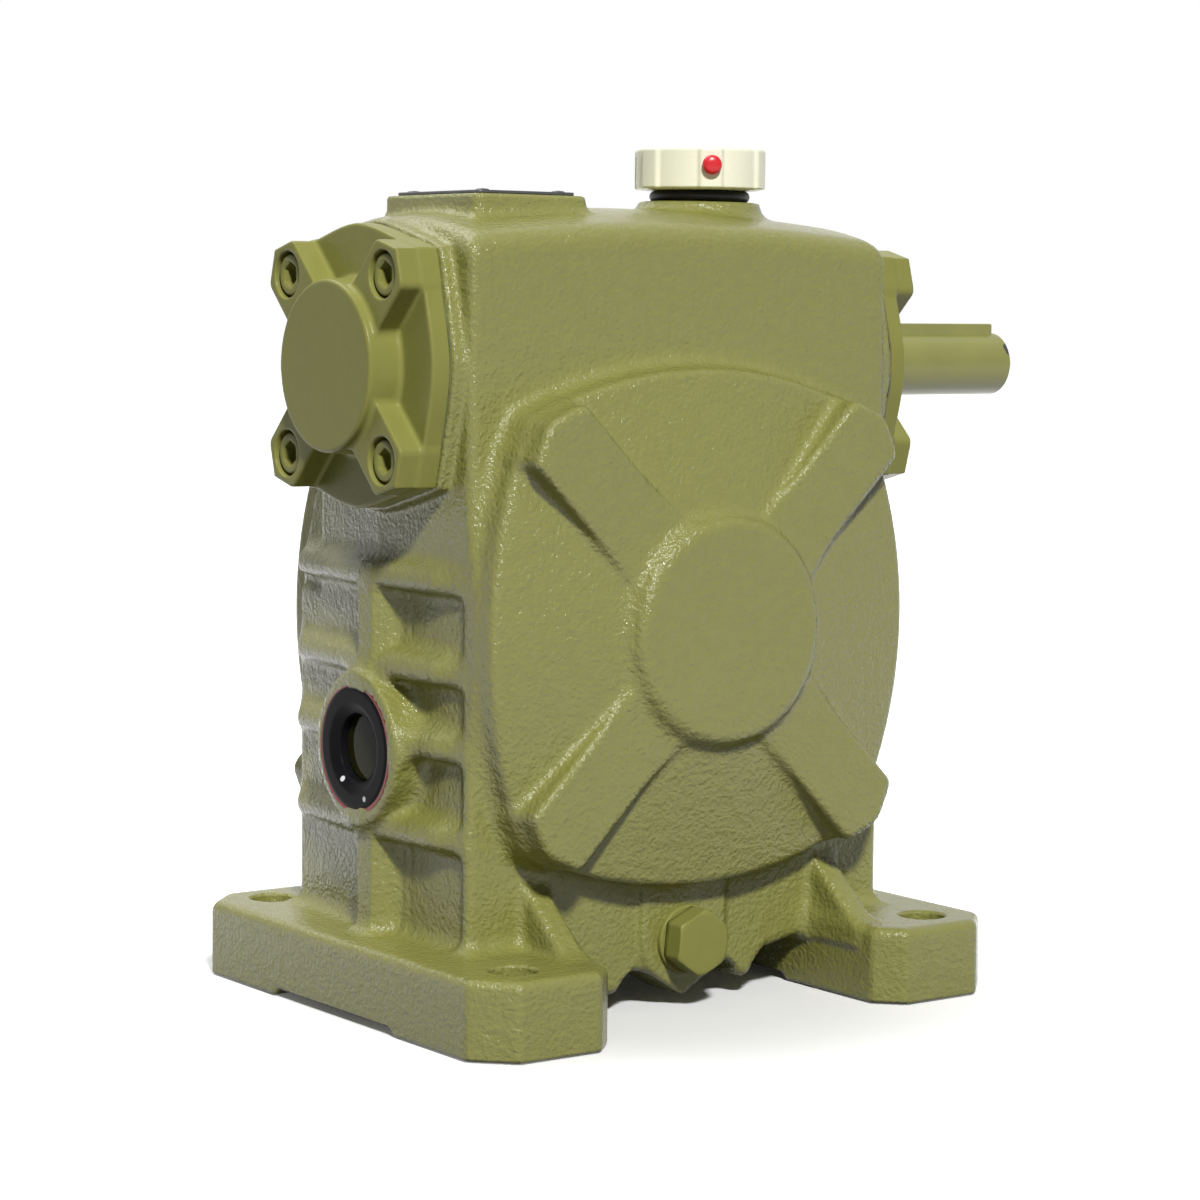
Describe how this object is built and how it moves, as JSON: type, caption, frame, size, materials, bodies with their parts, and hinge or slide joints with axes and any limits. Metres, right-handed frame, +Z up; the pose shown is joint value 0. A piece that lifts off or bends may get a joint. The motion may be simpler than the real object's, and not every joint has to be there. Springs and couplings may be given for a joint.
{
  "type": "worm gear reducer",
  "caption": "Worm gear reducer with the worm above a bronze wheel in a footed cast housing, solid keyed shafts, drain plug, oil sight glass and vented filler cap",
  "frame": {"origin": "On the mounting plane under the feet, at the centre of the four foot bolts.", "axes": "X along the worm towards the input shaft's free end, Y along the wheel shaft towards the output shaft's free end, Z up from the feet."},
  "size_m": [0.2051, 0.177, 0.2026],
  "materials": {
    "housing_paint": "glossy olive-green paint over sand-cast iron",
    "satin_paint": "smooth olive-green paint",
    "shaft_paint": "thin olive-green paint over ground steel",
    "gasket": "dark gasket paper",
    "rubber": "black rubber",
    "red_rubber": "dark red rubber",
    "black_plastic": "black moulded plastic",
    "glass": "clear glass",
    "reflector": "yellowish reflector disc",
    "cream_plastic": "glossy cream plastic",
    "red_plastic": "glossy red plastic",
    "plate": "bare dark metal sheet",
    "bearing_steel": "ground steel",
    "steel": "turned steel",
    "cast_iron": "rough cast iron",
    "bronze": "cut bronze"
  },
  "bodies": {
    "housing_body": {"housing": "housing_paint", "worm_end_cap": "satin_paint", "worm_end_gasket": "gasket", "worm_end_screws": "satin_paint", "input_cap": "satin_paint", "input_gasket": "gasket", "input_screws": "satin_paint", "output_cover": "housing_paint", "output_gasket": "gasket", "output_screws": "satin_paint", "input_oil_seal": "rubber", "output_oil_seal": "rubber", "sight_glass_ring": "black_plastic", "sight_glass_seal": "red_rubber", "sight_glass_lens": "glass", "sight_glass_reflector": "reflector", "filler_cap": "cream_plastic", "filler_ring": "rubber", "drain_plug": "satin_paint", "drain_washer": "satin_paint", "nameplate": "plate", "nameplate_pins": "plate", "worm_cup_left": "bearing_steel", "worm_cup_right": "bearing_steel", "output_cup_front": "bearing_steel", "output_cup_rear": "bearing_steel"},
    "worm": {"worm_shaft": "shaft_paint", "input_key": "shaft_paint", "worm_cone_left": "bearing_steel", "worm_cone_right": "bearing_steel", "worm_rollers_left": "bearing_steel", "worm_rollers_right": "bearing_steel"},
    "output": {"output_shaft": "shaft_paint", "wheel_hub": "cast_iron", "wheel_rim": "bronze", "wheel_key": "steel", "output_key": "shaft_paint", "wheel_spacer": "steel", "output_cone_front": "bearing_steel", "output_cone_rear": "bearing_steel", "output_rollers_front": "bearing_steel", "output_rollers_rear": "bearing_steel"},
    "vent": {"vent_plug": "red_plastic"}
  },
  "joints": [
    {"name": "worm_spin", "type": "hinge", "parent": "housing_body", "child": "worm", "pos_m": [0, 0, 0.15], "axis": [1, 0, 0], "continuous": true},
    {"name": "output_spin", "type": "hinge", "parent": "housing_body", "child": "output", "pos_m": [0, 0, 0.09], "axis": [0, 1, 0], "continuous": true},
    {"name": "vent_plug_pull", "type": "slide", "parent": "housing_body", "child": "vent", "axis": [-0.4633, -0.8862, 0], "range_m": [0, 0.007]}
  ],
  "couplings": [
    {"joint": "output_spin", "follows": "worm_spin", "ratio": -0.033333}
  ]
}
